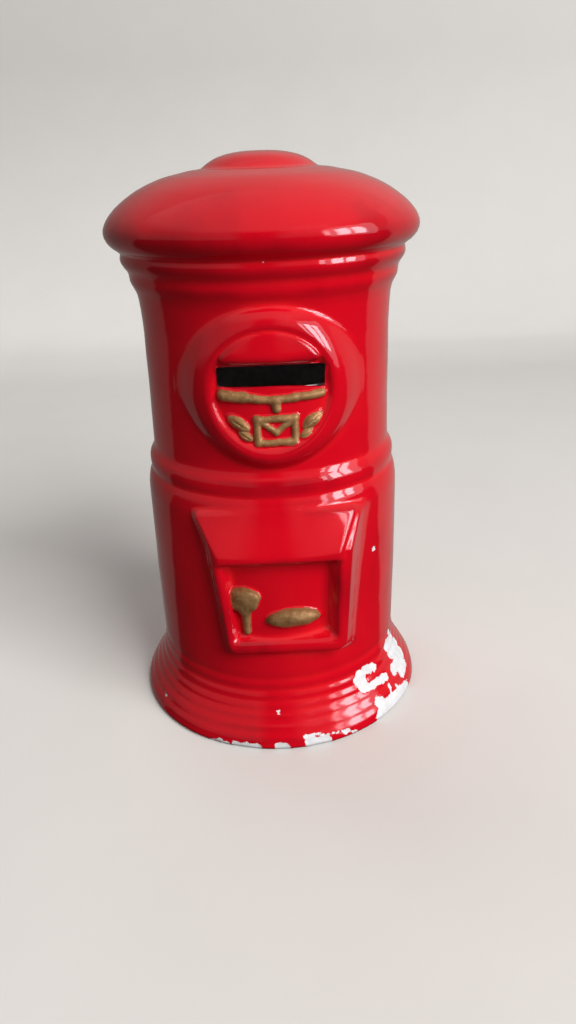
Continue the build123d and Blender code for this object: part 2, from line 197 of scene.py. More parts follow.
def awning_field(x, y, z):
    """Distance outside the sloping awning over the door, and outside its front plane alone."""
    t = np.clip((AWNING_TOP_Z - z) / AWNING_HEIGHT, -0.3, 1.0)
    top_y = mix(-np.sqrt(np.maximum(LOWER_DRUM**2 - x**2, 0)), -LOWER_DRUM + x**2 / 200, 0.5)
    lip_y = AWNING_LIP_Y + (x - AWNING_LIP_X) ** 2 / 190.0
    front_y = mix(top_y, lip_y, t)
    front = (front_y - y) * 0.94
    centre = mix(0.0, 0.9, t)
    half_width = mix(AWNING_TOP_HALF_WIDTH, AWNING_LIP_HALF_WIDTH, t)
    slope = np.where(x > centre, 0.42, 0.32)
    cheek = (np.abs(x - centre) - half_width - slope * (y - front_y)) / np.sqrt(1 + slope**2)
    under = (AWNING_UNDER_Z - 0.4 * (y + 57.0) - z) / 1.08
    top = (z - AWNING_CREST_Z + 0.35 * (y + 51.0)) / 1.06
    return smooth_max(smooth_max(smooth_max(front, cheek, 1.3), under, 1.2), top, 2.5), front


# the door's frame and its sunk field: heights, and pairs of sizes at the foot and at the top
DOOR_FOOT_Z, DOOR_HEIGHT, DOOR_TOP_Z = 41.0, 38.0, 97.0
DOOR_HALF_WIDTHS, DOOR_CENTRES = (22.3, 25.4), (2.9, 1.8)
FIELD_FOOT_Z, FIELD_TOP_Z, FIELD_HALF_WIDTHS, FIELD_OFF_CENTRE = 45.2, 82.0, (20.3, 22.5), -0.4


def door_field(x, y, z, awning_front):
    """Distances outside the door's frame, and outside the field sunk in it."""
    t = np.clip((z - DOOR_FOOT_Z) / DOOR_HEIGHT, 0, 1.5)
    behind = y + DOOR_FACE
    centre = mix(*DOOR_CENTRES, t)
    slope = np.where(x > centre, 0.42, 0.16)
    side = (np.abs(x - centre) - mix(*DOOR_HALF_WIDTHS, t) - slope * behind) / np.sqrt(1 + slope**2)
    bottom = (DOOR_FOOT_Z + 0.2 - 0.35 * behind - z) / sqrt(1 + 0.35**2)
    block = smooth_max(smooth_max(side, bottom, 4.0), -y - DOOR_FACE, 2.0)
    block = smooth_max(smooth_max(block, awning_front + 1.2, 1.0), z - DOOR_TOP_Z, 3.0)
    off_centre = np.abs(x - centre - FIELD_OFF_CENTRE)
    hollow_side = (off_centre - mix(*FIELD_HALF_WIDTHS, t) + 0.5 * behind) / sqrt(1 + 0.5**2)
    hollow_bottom = (FIELD_FOOT_Z + 0.5 * behind - z) / sqrt(1 + 0.5**2)
    hollow = smooth_max(hollow_side, hollow_bottom, 2.0)
    hollow = smooth_max(hollow, FIELD_GROUND - np.sqrt(x**2 + y**2), 1.0)
    return block, smooth_max(hollow, z - FIELD_TOP_Z, 0.5)


def front_field(theta, z, r, slot_gap=None):
    """Distance outside the whole front, in millimetres, negative in the clay.

    slot_gap is the distance to the slot's edge, where the lip is rounded.
    """
    x, y = r * np.sin(theta), -r * np.cos(theta)
    field = r - drum_radius(z)
    field = smooth_min(field, roundel_field(x, y, z, r), 0.8)
    awning, awning_front = awning_field(x, y, z)
    block, hollow = door_field(x, y, z, awning_front)
    field = smooth_min(field, block, 2.4)
    field = smooth_max(field, -hollow, 1.6)
    field = smooth_min(field, awning, 1.6)
    return field if slot_gap is None else smooth_max(field, -slot_gap - 0.14, 0.9)


RELIEF_OUTER, RELIEF_INNER = 61.0, 40.0       # radii between which the front's surface is looked for


def relief_radius(theta, z, slot_gap):
    """Radius of the front's surface along each ray, found from outside inwards."""
    step = 0.5
    low = np.full(theta.shape, RELIEF_INNER)
    high = np.full(theta.shape, RELIEF_OUTER)
    found = np.zeros(theta.shape, bool)
    for r in np.arange(RELIEF_OUTER, RELIEF_INNER, -step):
        inside = (front_field(theta, z, np.full(theta.shape, r), slot_gap) < 0) & ~found
        low[inside], high[inside] = r, r + step
        found |= inside
    for _ in range(9):
        middle = (low + high) / 2
        inside = front_field(theta, z, middle, slot_gap) < 0
        low, high = np.where(inside, middle, low), np.where(inside, high, middle)
    return (low + high) / 2


# ================================ chips in the glaze ===============================================
# Each chip is a stroke over the foot: two ends as (degrees round the drum, height), and its half width.
CHIPS = (
    ((41.8, 20.9), (48.4, 19.2), 1.5), ((38.6, 19.2), (39.4, 15.2), 2.6), ((37.2, 18.9), (36.2, 18.9), 1.2),
    ((39.6, 13.8), (54.0, 12.7), 1.4),
    ((69.6, 25.2), (69.6, 23.4), 0.9), ((64.4, 21.8), (72.3, 20.8), 2.8), ((66.4, 17.4), (75.6, 16.0), 2.9),
    ((69.0, 20.0), (72.0, 12.0), 3.2), ((61.8, 11.8), (76.2, 11.4), 2.3), ((66.0, 8.4), (73.0, 8.6), 2.2),
    ((65.0, 1.8), (57.0, 3.2), 2.8), ((57.0, 3.0), (48.0, 3.6), 3.2), ((48.0, 2.0), (42.4, 2.2), 2.6),
    ((45.4, 6.2), (43.4, 7.2), 1.8), ((52.4, 6.5), (53.2, 9.2), 0.6), ((58.2, 6.0), (57.5, 7.2), 0.7),
    ((8.5, 5.0), (25.8, 2.7), 0.5), ((9.9, 2.7), (16.4, 1.0), 1.9), ((27.9, 1.6), (28.6, 1.4), 0.5),
    ((-2.1, 1.7), (0.4, 1.7), 1.3), ((-18.7, 1.0), (-10.1, 1.4), 1.2), ((-29.0, 0.4), (-25.0, 1.4), 0.5),
    ((-23.8, 0.7), (-21.5, 1.0), 0.3), ((-60.7, 8.6), (-60.5, 8.0), 0.5), ((-57.6, 6.9), (-57.3, 6.9), 0.4),
    ((-68.1, 2.2), (-67.9, 0.2), 0.5), ((-59.4, 0.4), (-54.2, 0.4), 0.4),
    ((49.1, 75.0), (49.1, 74.4), 0.6), ((-1.7, 13.9), (-1.7, 13.3), 0.25),
)
CHIP_FAR = 8.0            # no chip is nearer than this
CHIP_SPREAD = 0.3         # every chip is this much wider than its stroke


def surface_point(degrees, z):
    r = float(drum_radius(z))
    return np.array([r * sin(radians(degrees)), -r * cos(radians(degrees)), z])


def chip_depth(points):
    """How far each point lies inside the nearest chip, in millimetres; negative outside."""
    nearest = np.full(len(points), CHIP_FAR)
    for start, end, half_width in CHIPS:
        a, b = surface_point(*start), surface_point(*end)
        along = b - a
        t = np.clip((points - a) @ along / (along @ along), 0, 1)
        distance = np.linalg.norm(points - a - t[:, None] * along, axis=1) - half_width
        nearest = smooth_min(nearest, distance, 0.8)
    return CHIP_SPREAD - nearest


# ================================ the casting as one closed mesh =====================================
# angle of a fine column
FINE = atan2(SLOT_HALF_WIDTH, sqrt(SLOT_GROUND**2 - SLOT_HALF_WIDTH**2)) / SLOT_COLUMNS
FINE_LEFT, FINE_RIGHT = 67, 109       # fine columns to the left of the slot's middle, and to its right
COARSE = radians(4.6)
SLOT_ROW = 0.6                        # distance between the rows across the slot


def column_angles():
    """Angles of the mesh's columns: close together over the relief and the chips, wider round the back."""
    middle = np.arange(-FINE_LEFT, FINE_RIGHT + 1) * FINE
    gap = 2 * pi - (FINE_LEFT + FINE_RIGHT) * FINE
    steps, step, total = [], FINE, 0.0
    while total < gap / 2:
        step = min(step * 1.22, COARSE)
        total += step
        steps.append(step)
    steps = np.array(steps + steps[::-1])
    between = np.cumsum(steps)[:-1] * gap / steps.sum()
    return np.concatenate([middle, middle[-1] + between]) + SLOT_X / SLOT_GROUND


def rows_down(high, low, spacing):
    """Heights from high down to just above low, about this far apart."""
    count = max(1, int(round((high - low) / spacing)))
    return high + (low - high) * np.arange(count) / count


def make_mesh(name, vertices, faces):
    """Mesh object from millimetre vertices, smooth shaded."""
    mesh = bpy.data.meshes.new(name)
    mesh.from_pydata((np.asarray(vertices) * MM).tolist(), [], [list(map(int, f)) for f in faces])
    mesh.polygons.foreach_set("use_smooth", np.ones(len(mesh.polygons), bool))
    mesh.update()
    piece = bpy.data.objects.new(name, mesh)
    bpy.context.scene.collection.objects.link(piece)
    return piece


def drop_loose_points(piece):
    """Delete the points that no face uses."""
    shape = bmesh.new()
    shape.from_mesh(piece.data)
    bmesh.ops.delete(shape, geom=[v for v in shape.verts if not v.link_faces], context="VERTS")
    shape.to_mesh(piece.data)
    shape.free()


def add_attribute(piece, name, values):
    attribute = piece.data.attributes.new(name, "FLOAT", "POINT")
    attribute.data.foreach_set("value", np.asarray(values, np.float32))


def shape_slot(x, z):
    """Warp a place near the straight slot: rounded corners, and long edges that droop at their ends."""
    dx, dz = x - SLOT_X, z - SLOT_Z
    a = np.abs(dx) - (SLOT_HALF_WIDTH - SLOT_CORNER)
    b = np.abs(dz) - (SLOT_HALF_HEIGHT - SLOT_CORNER)
    corner = (a > 0) & (b > 0)
    square, circle = np.maximum(a, b), np.hypot(a, b) + 1e-9
    fade = np.clip(1 - (square - SLOT_CORNER) / 4, 0, 1)
    shrink = np.where(corner, mix(1.0, square / circle, fade), 1.0)
    new_x = SLOT_X + np.sign(dx) * (np.abs(dx) + np.where(corner, a * (shrink - 1), 0))
    new_z = SLOT_Z + np.sign(dz) * (np.abs(dz) + np.where(corner, b * (shrink - 1), 0))
    across = np.clip(dx / SLOT_HALF_WIDTH, -1, 1)
    above = np.maximum(np.abs(dz) - SLOT_HALF_HEIGHT, 0)
    near = np.clip((28 - np.abs(dx)) / 9, 0, 1) * np.exp(-(above / 5) ** 2)
    top_drop = -0.05 + 0.70 * across**2
    bottom_drop = 0.10 + 1.10 * across**2 + 0.70 * across * np.abs(across)
    share = np.clip(0.5 - dz / (2 * SLOT_HALF_HEIGHT), 0, 1)
    return new_x, new_z - near * mix(top_drop, bottom_drop, share)


def thinness_and_shade(grid, passes, rate):
    """How far each point stands out of its neighbourhood, in millimetres: where a glaze runs thin, and where
    the red is given painted highlight and painted shade.
    """
    blurred = grid.copy()
    along = np.linalg.norm(np.diff(grid, axis=0), axis=2) + 1e-6
    across = np.linalg.norm(np.roll(grid, -1, axis=1) - grid, axis=2) + 1e-6
    for _ in range(passes):
        step = np.zeros_like(blurred)
        up = (blurred[1:] - blurred[:-1]) / along[:, :, None]
        span = (along[1:] + along[:-1])[:, :, None] / 2
        step[1:-1] += (up[1:] - up[:-1]) / span
        side = (np.roll(blurred, -1, axis=1) - blurred) / across[:, :, None]
        span = ((across + np.roll(across, 1, axis=1)) / 2)[:, :, None]
        step += (side - np.roll(side, 1, axis=1)) / span
        blurred += rate * step
    normal = np.cross(np.gradient(grid, axis=0), np.gradient(grid, axis=1))
    normal /= np.linalg.norm(normal, axis=2, keepdims=True) + 1e-9
    return ((grid - blurred) * normal).sum(2)


INSIDE_WALL_ROWS = 12     # rows below the slot's inner opening whose columns spread with it
# half the slot's angle, and how much further each of its sides stands on the inside
SLOT_EDGE_ANGLE, SLOT_WIDER_INSIDE = radians(22.2), radians(5.2)
# the part of the outside that carries relief
RELIEF_LOW_Z, RELIEF_HIGH_Z, RELIEF_ANGLE = 33, 182, radians(64)


def casting_rows():
    """The outline that the casting's rows follow, as (radius, height), and the numbers of its main rows.

    It runs from the button over the cap, down the outside, under the foot and up the inside to the dome.
    """
    slot_top, slot_bottom = SLOT_Z + SLOT_HALF_HEIGHT, SLOT_Z - SLOT_HALF_HEIGHT
    cap = smooth_path(CAP_OUTLINE, 1.5)[1:]
    heights = np.concatenate([
        rows_down(187.0, 172.0, 0.75), rows_down(172.0, slot_top, 0.63),
        rows_down(slot_top, slot_bottom, SLOT_ROW), rows_down(slot_bottom, 96.0, 0.63),
        rows_down(96.0, 39.0, 0.66), rows_down(39.0, 27.0, 1.4), rows_down(27.0, 1.6, 0.6)])
    turned = np.stack([drum_radius(heights), heights], 1)
    foot, base = smooth_path(FOOT_OUTLINE, 1.0), smooth_path(BASE_OUTLINE, 2.2)
    under = np.vstack([foot, base[1:], smooth_path(INSIDE_OUTLINE, 7.0)[1:]])
    # the opening is a little larger inside, where it was cleaned out with a knife
    slot_rows = len(rows_down(slot_top, slot_bottom, SLOT_ROW))
    inner_heights = np.linspace(slot_bottom - 2.6, slot_top + 1.0, slot_rows + 1)
    inner_slot = np.stack([np.full(len(inner_heights), INNER_NECK), inner_heights], 1)
    first_under = len(cap) + len(turned)
    first_inner = first_under + len(under)
    return SimpleNamespace(
        path=np.vstack([cap, turned, under, inner_slot, smooth_path(INSIDE_ABOVE_SLOT, 7.0)]),
        turned=len(cap), under=first_under, walls=first_inner - INSIDE_WALL_ROWS,
        slot_top=len(cap) + int(np.argmin(np.abs(heights - slot_top))),
        slot_bottom=len(cap) + int(np.argmin(np.abs(heights - slot_bottom))),
        inner_bottom=first_inner, inner_top=first_inner + slot_rows)


def casting_points(theta, rows):
    """Points of the casting's grid, each row and column, and which rows are glazed."""
    T, R = np.meshgrid(theta, rows.path[:, 0])
    plain_z = np.repeat(rows.path[:, 1][:, None], len(theta), axis=1)
    wrapped = (T + pi) % (2 * pi) - pi
    chord = SLOT_GROUND * np.sin(np.clip(wrapped, -1.2, 1.2))
    number = np.arange(len(rows.path))[:, None]
    outside = (number >= rows.turned) & (number < rows.under)
    warped_x, warped_z = shape_slot(chord, plain_z)
    near_slot = outside & (np.abs(wrapped) < radians(40)) & (np.abs(plain_z - SLOT_Z) < 22)
    turn = (warped_x - chord) / (SLOT_GROUND * np.cos(np.clip(wrapped, -1, 1)))
    T = np.where(near_slot, T + turn, T)
    Z = np.where(near_slot, warped_z, plain_z)
    # the inside columns spread to the slot's wider inner opening
    off = wrapped - SLOT_X / SLOT_GROUND
    share = np.minimum(np.abs(off) / SLOT_EDGE_ANGLE, (pi - np.abs(off)) / (pi - SLOT_EDGE_ANGLE))
    widen = np.sign(off) * SLOT_WIDER_INSIDE * np.clip(share, 0, 1)
    T = np.where(number >= rows.walls, T + widen, T)
    slot_gap = smooth_max(np.abs(chord - SLOT_X) - SLOT_HALF_WIDTH,
                          np.abs(plain_z - SLOT_Z) - SLOT_HALF_HEIGHT, 0.6)
    relief = outside & (plain_z > RELIEF_LOW_Z) & (plain_z < RELIEF_HIGH_Z) & (np.abs(wrapped) < RELIEF_ANGLE)
    R[relief] = relief_radius(T[relief], Z[relief], slot_gap[relief])
    foot = (rows.path[:, 1] > 0.05) & (rows.path[:, 0] > 58)
    glazed = ((number[:, 0] < rows.under) | foot).astype(float)
    R += (glazed * np.clip(rows.path[:, 0] / 12.0, 0, 1))[:, None] * hand_waver(T, Z)
    return np.stack([R * np.sin(T), -R * np.cos(T), Z], 2), glazed


def chip_away(grid, glazed):
    """How far each point lies inside a chip, where it steps down through the glaze to the clay."""
    chip = chip_depth(grid.reshape(-1, 3)).reshape(grid.shape[:2])
    radial = grid * (1, 1, 0)
    radial /= np.linalg.norm(radial, axis=2, keepdims=True) + 1e-9
    drop = GLAZE_THICKNESS * np.clip(chip / 0.5, 0, 1) * glazed[:, None]
    grid -= drop[:, :, None] * radial
    return chip


def slot_loops(rows, left, right, index):
    """Point numbers round the slot's outer opening and round its inner one, in step with each other."""
    span = rows.slot_bottom - rows.slot_top
    outer = ([(rows.slot_top, c) for c in range(left, right)]
             + [(rows.slot_top + i, right) for i in range(span)]
             + [(rows.slot_bottom, c) for c in range(right, left, -1)]
             + [(rows.slot_bottom - i, left) for i in range(span)])
    inner = ([(rows.inner_top, c) for c in range(left, right)]
             + [(rows.inner_top - i, right) for i in range(span)]
             + [(rows.inner_bottom, c) for c in range(right, left, -1)]
             + [(rows.inner_bottom + i, left) for i in range(span)])
    return [index(*p) for p in outer], [index(*p) for p in inner]


# walls of the slot: share of the way in, how far the wall is cut back there, and how much of it is glazed
LIP = ((0.06, 0.0, 1.0), (0.13, 0.05, 1.0), (0.22, 0.7, 1.0), (0.45, 1.9, 1.0), (0.75, 2.2, 0.9))


def lip_points(outer, inner):
    """Points of the rings between the slot's outer and inner openings."""
    half_size = (SLOT_HALF_WIDTH, 1, SLOT_HALF_HEIGHT)
    away = (outer - np.array([SLOT_X, 0, SLOT_Z])) * (1, 0, 1)
    away /= np.linalg.norm(away / half_size, axis=1, keepdims=True)
    away /= half_size
    return [mix(outer, inner, share) + cut_back * away for share, cut_back, _ in LIP]


def make_casting():
    """The casting as one closed mesh, with how deep its chips are and how thin its glaze is at each point,
    which also places painted highlight and painted shade.
    """
    theta, rows = column_angles(), casting_rows()
    grid, glazed = casting_points(theta, rows)
    row_count, columns = grid.shape[:2]
    # how far the glaze runs thin or pools: partly the glaze's own colour, partly painted highlight and
    # painted shade in the red
    thin = np.zeros((row_count, columns))
    thin[:rows.under] = -thinness_and_shade(grid[:rows.under], passes=14, rate=0.07)
    chip = chip_away(grid, glazed)
    top, bottom = row_count * columns, row_count * columns + 1
    vertices = np.vstack([grid.reshape(-1, 3), [[0, 0, HEIGHT], [0, 0, INSIDE_TOP]]])

    def index(row, column):
        return row * columns + column % columns

    left, right = FINE_LEFT - SLOT_COLUMNS, FINE_LEFT + SLOT_COLUMNS
    faces = []
    for row in range(row_count - 1):
        in_slot = rows.slot_top <= row < rows.slot_bottom or rows.inner_bottom <= row < rows.inner_top
        for column in range(columns):
            if in_slot and left <= column < right:
                continue
            faces.append((index(row, column), index(row + 1, column), index(row + 1, column + 1),
                          index(row, column + 1)))
    faces += [(top, index(0, c), index(0, c + 1)) for c in range(columns)]
    faces += [(bottom, index(row_count - 1, c + 1), index(row_count - 1, c)) for c in range(columns)]

    outer, inner = slot_loops(rows, left, right, index)
    count, first_lip = len(outer), len(vertices)
    rings = [outer]
    rings += [list(range(first_lip + i * count, first_lip + (i + 1) * count)) for i in range(len(LIP))]
    rings.append(inner)
    vertices = np.vstack([vertices] + lip_points(vertices[outer], vertices[inner]))
    for near, far in zip(rings, rings[1:]):
        faces += [(near[i], near[(i + 1) % count], far[(i + 1) % count], far[i]) for i in range(count)]

    def for_vertices(values, at_top, in_lip):
        return np.concatenate([np.ravel(values), at_top, np.repeat(in_lip, count)])

    piece = make_mesh("casting", vertices, faces)
    lip_glaze, no_lip = [amount for *_, amount in LIP], [0.0] * len(LIP)
    add_attribute(piece, "glaze", for_vertices(np.repeat(glazed, columns), [1, 0], lip_glaze))
    add_attribute(piece, "chip", for_vertices(chip, [-CHIP_FAR, -CHIP_FAR], [-CHIP_FAR] * len(LIP)))
    # the glaze's thinning and pooling, which also carries painted highlight and painted shade
    add_attribute(piece, "thin", for_vertices(thin, [0, 0], no_lip))
    drop_loose_points(piece)
    return piece


casting = make_casting()
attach(casting, "body")
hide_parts("ceramic_body")


# ================================ gilded relief =========================================================
def surface_net(name, field, low, high, step):
    """Mesh the zero surface of field(points), negative inside, sampled on a grid of this step."""
    counts = [int((b - a) / step) + 2 for a, b in zip(low, high)]
    low = np.array(low, float)
    grid = np.stack(np.meshgrid(*[np.arange(n) for n in counts], indexing="ij"), -1)
    values = field(grid.reshape(-1, 3) * step + low).reshape(counts)
    inside = values < 0
    total = np.zeros([n - 1 for n in counts] + [3])
    hits = np.zeros([n - 1 for n in counts])
    crossings = []
    for axis in range(3):
        near = [slice(None)] * 3
        far = [slice(None)] * 3
        near[axis], far[axis] = slice(0, -1), slice(1, None)
        near, far = tuple(near), tuple(far)
        edges = np.argwhere(inside[near] != inside[far])
        a, b = values[near][tuple(edges.T)], values[far][tuple(edges.T)]
        points = edges.astype(float)
        points[:, axis] += a / (a - b)
        u, v = [i for i in range(3) if i != axis]
        corners = []
        for du, dv in ((0, 0), (-1, 0), (-1, -1), (0, -1)):
            cell = edges.copy()
            cell[:, u] += du
            cell[:, v] += dv
            np.add.at(total, tuple(cell.T), points)
            np.add.at(hits, tuple(cell.T), 1)
            corners.append(cell)
        flip = (a < 0) if axis != 1 else (a > 0)
        crossings.append((corners, flip))
    used = hits > 0
    number = np.full(hits.shape, -1)
    number[used] = np.arange(used.sum())
    vertices = total[used] / hits[used][:, None] * step + low
    # one face for every edge of the grid that crosses the surface
    faces = []
    for corners, flip in crossings:
        ids = np.stack([number[tuple(c.T)] for c in corners], 1)
        faces.append(np.where(flip[:, None], ids, ids[:, ::-1]))
    # draw the points onto the surface
    for _ in range(3):
        value = field(vertices)
        slope = np.stack([(field(vertices + d) - field(vertices - d)) / 0.1
                          for d in np.eye(3) * 0.05], 1)
        move = value[:, None] * slope / np.maximum((slope**2).sum(1), 0.04)[:, None]
        vertices -= np.clip(move, -step / 2, step / 2)
    return make_mesh(name, vertices, np.vstack(faces))


def casting_height(p):
    """Height of each point above the finished casting, in millimetres."""
    theta, r = np.arctan2(p[:, 0], -p[:, 1]), np.hypot(p[:, 0], p[:, 1])
    return front_field(theta, p[:, 2], r - hand_waver(theta, p[:, 2]))


def stroke(p, height, a, b, start_radius, end_radius, flatness=1.05):
    """Distance from a rounded stroke that lies on its ground, from a to b in (x, z)."""
    ax, az, bx, bz = *a, *b
    length2 = (bx - ax) ** 2 + (bz - az) ** 2 + 1e-9
    t = np.clip(((p[:, 0] - ax) * (bx - ax) + (p[:, 2] - az) * (bz - az)) / length2, 0, 1)
    across = np.hypot(p[:, 0] - ax - t * (bx - ax), p[:, 2] - az - t * (bz - az))
    return np.hypot(across, flatness * height) - mix(start_radius, end_radius, t)


def pillow(p, height, centre, half_length, half_width, rise, tilt=0.0, fullness=2.4, droop=0.0):
    """Distance from a cushion that lies on its ground, turned by tilt degrees, with drooping ends."""
    dx, dz = p[:, 0] - centre[0], p[:, 2] - centre[1]
    along = dx * cos(radians(tilt)) + dz * sin(radians(tilt))
    across = dz * cos(radians(tilt)) - dx * sin(radians(tilt)) + droop * (along / half_length) ** 2
    rho = np.hypot(along / half_length, across / half_width)
    size = (rho**fullness + np.abs(height / rise) ** fullness) ** (1 / fullness)
    return (size - 1) * min(half_width, rise)


GILT_LIFT, GILT_CURVE = 0.06, 1.1     # foot of a gilded piece: height over the glaze, and reach of its curve
GILT_SPREAD, GILT_SUNK = 0.95, 0.7    # how far the foot runs out round the shapes, and how deep a piece goes


def make_relief(name, node, shapes, low, high, ground, blend, step=0.3):
    """Piece of gilded relief: shapes joined on their ground, and rounded into the casting at their foot."""
    def parts(p):
        """Distance from the shapes alone, a little uneven as if made by hand."""
        height = np.hypot(p[:, 0], p[:, 1]) - ground
        distance = None
        for shape in shapes:
            one = shape(p, height)
            distance = one if distance is None else smooth_min(distance, one, blend)
        x, z = p[:, 0], p[:, 2]
        return distance + (0.07 * np.sin(0.7 * x + 0.9 * z) + 0.03 * np.sin(1.9 * x - 1.4 * z + 0.7))

    def field(p):
        alone, above = parts(p), casting_height(p)
        joined = smooth_min(alone, above + GILT_LIFT, GILT_CURVE)
        return smooth_max(smooth_max(joined, alone - GILT_SPREAD, 0.2), -GILT_SUNK - above, 0.2)

    piece = surface_net(name, field, low, high, step)
    points = np.array([v.co for v in piece.data.vertices]) / MM
    add_attribute(piece, "height", casting_height(points))
    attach(piece, "body")
    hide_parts(node)
    return piece


def as_stroke(*figures):
    return lambda p, height: stroke(p, height, *figures)


def as_pillow(*figures):
    return lambda p, height: pillow(p, height, *figures)


# the bar's strokes: two ends as (x, z), and the half width at each
BAR = (
    ((-15.9, 142.9), (-9.0, 142.3), 2.05, 1.7), ((-9.0, 142.3), (1.0, 141.2), 1.7, 1.2),
    ((1.0, 141.2), (9.0, 141.7), 1.2, 1.35), ((9.0, 141.7), (18.2, 142.2), 1.35, 1.4),
    ((2.1, 140.6), (2.4, 138.2), 1.75, 1.5),
)
slot_bar = make_relief("slot_bar_gilt", "slot_bar", [as_stroke(*b) for b in BAR],
                       (-20.5, -54, 134), (22.5, -43, 148), PANEL_FLOOR + 0.2, 0.9)

ENVELOPE_X, ENVELOPE_Z, ENVELOPE_HALF_WIDTH, ENVELOPE_HALF_HEIGHT = 2.0, 130.2, 6.6, 4.3
LINE = 1.22               # half width of the envelope's lines


def envelope_strokes():
    left, right = ENVELOPE_X - ENVELOPE_HALF_WIDTH, ENVELOPE_X + ENVELOPE_HALF_WIDTH
    low, high = ENVELOPE_Z - ENVELOPE_HALF_HEIGHT, ENVELOPE_Z + ENVELOPE_HALF_HEIGHT
    tip = (ENVELOPE_X + 0.1, ENVELOPE_Z - 0.5)
    outline = (((left, low), (right, low)), ((right, low), (right, high)), ((right, high), (left, high)),
               ((left, high), (left, low)))
    flap = (((left + 0.3, high - 0.3), tip), ((right - 0.3, high - 0.3), tip))
    return ([as_stroke(a, b, LINE, LINE) for a, b in outline]
            + [as_stroke(a, b, 0.8 * LINE, 0.85 * LINE) for a, b in flap])


envelope = make_relief("envelope_gilt", "envelope_relief", envelope_strokes(),
                       (ENVELOPE_X - 9.5, -54, 123), (ENVELOPE_X + 9.5, -43, 138.5), PANEL_FLOOR + 0.2, 0.7)

# reach from the envelope's middle, height, length and slope in degrees of each leaf on one side
LEAVES = ((12.9, 132.9, 8.0, 34.0), (10.8, 128.4, 5.6, 34.0))
LEAF_RISE = 1.5


def leaf(centre_x, z, length, slope):
    """Leaf with a groove along its middle."""
    dx, dz = length / 2 * cos(radians(slope)), length / 2 * sin(radians(slope))

    def shape(p, height):
        blade = pillow(p, height, (centre_x, z), length / 2, 0.27 * length, LEAF_RISE, slope, 2.0)
        root, tip = (centre_x - 0.8 * dx, z - 0.8 * dz), (centre_x + 0.75 * dx, z + 0.75 * dz)
        vein = stroke(p, height - LEAF_RISE, root, tip, 0.3, 0.25, 0.6)
        return smooth_max(blade, -vein, 0.4)
    return shape


leaves = [leaf(ENVELOPE_X + side * reach, z, length, side * slope)
          for side in (1, -1) for reach, z, length, slope in LEAVES]
sprigs = make_relief("leaf_sprigs_gilt", "leaf_sprigs", leaves,
                     (ENVELOPE_X - 21, -54, 121), (ENVELOPE_X + 21, -40, 140), PANEL_FLOOR + 0.2, 0.3)

# each pillow: centre, half length, half width, rise, tilt, fullness and droop
key_shapes = [
    as_pillow((-13.2, 63.4), 5.9, 5.2, 3.2, -2.0, 3.4), as_pillow((-13.0, 65.6), 5.2, 2.4, 2.9, -3.0, 2.8),
    as_stroke((-12.8, 58.8), (-12.4, 50.0), 1.9, 1.6, 0.75),
]
key = make_relief("key_plate_gilt", "key_plate", key_shapes,
                  (-22, -57, 45), (-2, -44, 76), FIELD_GROUND, 1.6, 0.32)

handle_shapes = [
    as_pillow((5.4, 55.7), 10.2, 3.9, 3.4, 0.5, 2.4, 1.0),
    as_pillow((5.5, 56.0), 8.0, 2.2, 3.6, 0.5, 2.2, 0.7),
]
handle = make_relief("door_handle_gilt", "door_handle", handle_shapes,
                     (-12, -57, 48), (22, -44, 66), FIELD_GROUND, 1.2, 0.32)


# ================================ materials ===============================================================
class Nodes:
    """A node tree under construction, with short spellings for the nodes that repeat."""

    def __init__(self, tree, coordinates):
        self.tree = tree
        self.place = self.add("ShaderNodeTexCoord").outputs[coordinates]

    def add(self, kind, inputs=None, **settings):
        """Add a node; each input is a value, or a socket to link from."""
        node = self.tree.nodes.new(kind)
        for name, value in settings.items():
            setattr(node, name, value)
        for name, value in (inputs or {}).items():
            self.put(node.inputs[name], value)
        return node

    def put(self, socket, value):
        if isinstance(value, bpy.types.NodeSocket):
            self.tree.links.new(value, socket)
        else:
            socket.default_value = value

    def noise(self, size_mm, detail=2.0, roughness=0.5, stretch=(1, 1, 1)):
        """Noise from 0 to 1 with features of about this size."""
        place = self.add("ShaderNodeMapping", {"Vector": self.place, "Scale": stretch}).outputs[0]
        return self.add("ShaderNodeTexNoise", {"Vector": place, "Scale": 1000 / size_mm, "Detail": detail,
                                               "Roughness": roughness}).outputs["Fac"]

    def math(self, operation, a, b=0.0):
        return self.add("ShaderNodeMath", {0: a, 1: b}, operation=operation).outputs[0]

    def ramp(self, value, low, high, from_value=0.0, to_value=1.0):
        """Smooth step of value from low to high, between two amounts."""
        return self.add("ShaderNodeMapRange", {"Value": value, "From Min": low, "From Max": high,
                                               "To Min": from_value, "To Max": to_value},
                        interpolation_type="SMOOTHSTEP").outputs[0]

    def attribute(self, name):
        return self.add("ShaderNodeAttribute", attribute_name=name).outputs["Fac"]

    def level(self):
        """Height above the ground, in metres."""
        return self.add("ShaderNodeSeparateXYZ", {0: self.place}).outputs[2]

    def blend(self, amount, a, b):
        """Colour from a to b as amount goes from 0 to 1."""
        node = self.add("ShaderNodeMix", data_type="RGBA")
        self.put(node.inputs[0], amount)
        self.put(node.inputs[6], a if isinstance(a, bpy.types.NodeSocket) else (*a, 1))
        self.put(node.inputs[7], b if isinstance(b, bpy.types.NodeSocket) else (*b, 1))
        return node.outputs[2]

    def mix_value(self, amount, a, b):
        node = self.add("ShaderNodeMix", data_type="FLOAT")
        for socket, value in ((0, amount), (2, a), (3, b)):
            self.put(node.inputs[socket], value)
        return node.outputs[0]

    def bump(self, height, depth_mm, normal=None):
        inputs = {"Height": height, "Distance": depth_mm * MM}
        if normal is not None:
            inputs["Normal"] = normal
        return self.add("ShaderNodeBump", inputs).outputs[0]


